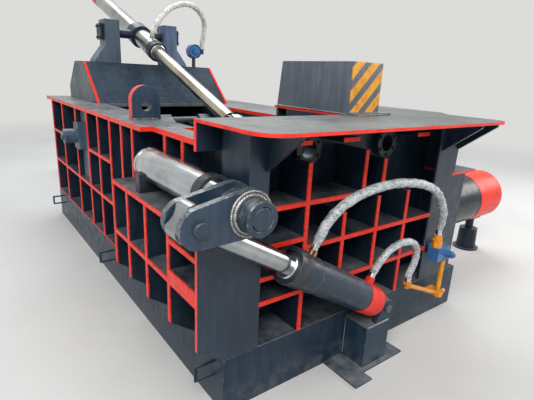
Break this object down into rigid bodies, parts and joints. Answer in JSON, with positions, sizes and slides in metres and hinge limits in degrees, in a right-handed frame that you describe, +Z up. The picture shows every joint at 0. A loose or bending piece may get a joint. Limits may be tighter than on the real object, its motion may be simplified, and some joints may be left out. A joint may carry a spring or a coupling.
{
  "type": "recycling baler",
  "caption": "Hydraulic scrap baler: ribbed press box on a skid, lid pulled by a slanted cylinder on a tower, two rams and a crank-driven turn-out bucket beside a front table.",
  "frame": {"origin": "middle of the skid's underside, on the floor", "axes": "+Z up, +Y from the front table towards the rear (along the main ram), +X to the right, along the side ram"},
  "size_m": [3.6391, 5.902, 2.5477],
  "materials": {
    "frame_paint": "satin dark blue-grey paint, dusty, with brush marks",
    "rib_paint": "satin dark paint with hand-brushed red rib edges",
    "box_paint": "satin dark paint with a striped hazard end",
    "bare_plate": "bare rolled plate, scuffed and dusty",
    "machined_steel": "turned bare steel",
    "rod_chrome": "polished chrome plate",
    "gland_black": "gloss black",
    "red_paint": "brushed red paint",
    "blue_steel": "thin blue-grey primer",
    "valve_blue": "gloss blue enamel",
    "pipe_yellow": "yellow zinc plate",
    "hose_wrap": "hose wrapped in crumpled clear film"
  },
  "bodies": {
    "frame": {"skid_frame": "frame_paint", "front_posts": "frame_paint", "left_top_plate": "frame_paint", "right_top_plate": "frame_paint", "rear_deck": "frame_paint", "table_gussets": "frame_paint", "lifting_lug": "frame_paint", "side_boss": "frame_paint", "lifting_loops": "frame_paint", "upright_left": "frame_paint", "foot_bracket": "frame_paint", "front_ribs": "rib_paint", "front_wall": "rib_paint", "left_wall": "rib_paint", "right_wall": "rib_paint", "rear_wall": "rib_paint", "left_upper_ribs": "rib_paint", "left_lower_frame": "rib_paint", "right_ribs": "rib_paint", "cross_beam": "rib_paint", "tower": "rib_paint", "trunnion_keepers": "rib_paint", "main_barrel": "rib_paint", "side_barrel": "rib_paint", "jack_stands": "rib_paint", "marker_box": "box_paint", "table": "bare_plate", "chamber_floor": "bare_plate", "lid_hinge_pin": "machined_steel", "foot_pin": "machined_steel", "guide_flanges": "machined_steel", "turn_bearings": "gland_black", "main_cap": "red_paint", "side_cap": "red_paint", "upright_right": "blue_steel", "front_valve": "valve_blue", "lid_valve": "valve_blue", "yellow_pipes": "pipe_yellow", "hose_high": "hose_wrap", "hose_low": "hose_wrap", "lid_hose": "hose_wrap"},
    "lid": {"lid": "frame_paint", "lid_clevis_pin": "machined_steel"},
    "lid_cylinder": {"lid_barrel": "rib_paint", "lid_gland": "gland_black", "lid_cap": "red_paint", "lid_trunnion": "rib_paint"},
    "lid_rod": {"lid_rod": "rod_chrome"},
    "main_ram": {"main_rod": "rod_chrome", "main_platen": "frame_paint"},
    "side_ram": {"side_rod": "rod_chrome", "side_platen": "frame_paint"},
    "turn_out": {"turn_tube": "machined_steel", "turn_bucket": "frame_paint", "turn_crank": "frame_paint", "crank_pin": "frame_paint"},
    "turn_cylinder": {"turn_barrel": "rib_paint", "turn_gland": "gland_black", "turn_cap": "red_paint"},
    "turn_rod": {"turn_rod": "rod_chrome"}
  },
  "joints": [
    {"name": "lid_hinge", "type": "hinge", "parent": "frame", "child": "lid", "pos_m": [0, 0.825, 1.12], "axis": [-1, 0, 0], "range_deg": [0, 60]},
    {"name": "lid_cylinder_swing", "type": "hinge", "parent": "frame", "child": "lid_cylinder", "pos_m": [-0.15, 1.435, 1.948], "axis": [-1, 0, 0], "range_deg": [0, 38], "deforming": ["lid_hose"]},
    {"name": "lid_rod_slide", "type": "slide", "parent": "lid_cylinder", "child": "lid_rod", "axis": [0, 0.9377, 0.3476], "range_m": [0, 0.84]},
    {"name": "main_ram_slide", "type": "slide", "parent": "frame", "child": "main_ram", "axis": [0, -1, 0], "range_m": [0, 1.6]},
    {"name": "side_ram_slide", "type": "slide", "parent": "frame", "child": "side_ram", "axis": [-1, 0, 0], "range_m": [0, 0.7]},
    {"name": "turn_out_hinge", "type": "hinge", "parent": "frame", "child": "turn_out", "pos_m": [-1, -1.25, 1.086], "axis": [0, -1, 0], "range_deg": [0, 80]},
    {"name": "turn_cylinder_swing", "type": "hinge", "parent": "frame", "child": "turn_cylinder", "pos_m": [0, -1.871, 0.343], "axis": [0, -1, 0], "range_deg": [0, 6], "deforming": ["hose_high", "hose_low"]},
    {"name": "turn_rod_slide", "type": "slide", "parent": "turn_cylinder", "child": "turn_rod", "axis": [0.8616, 0, -0.5075], "range_m": [0, 0.285]}
  ],
  "couplings": [
    {"joint": "lid_cylinder_swing", "follows": "lid_hinge", "ratio": 0.61311},
    {"joint": "lid_rod_slide", "follows": "lid_hinge", "m_per_rad": 0.78954},
    {"joint": "turn_cylinder_swing", "follows": "turn_out_hinge", "ratio": 0.05877},
    {"joint": "turn_rod_slide", "follows": "turn_out_hinge", "m_per_rad": 0.19845}
  ]
}
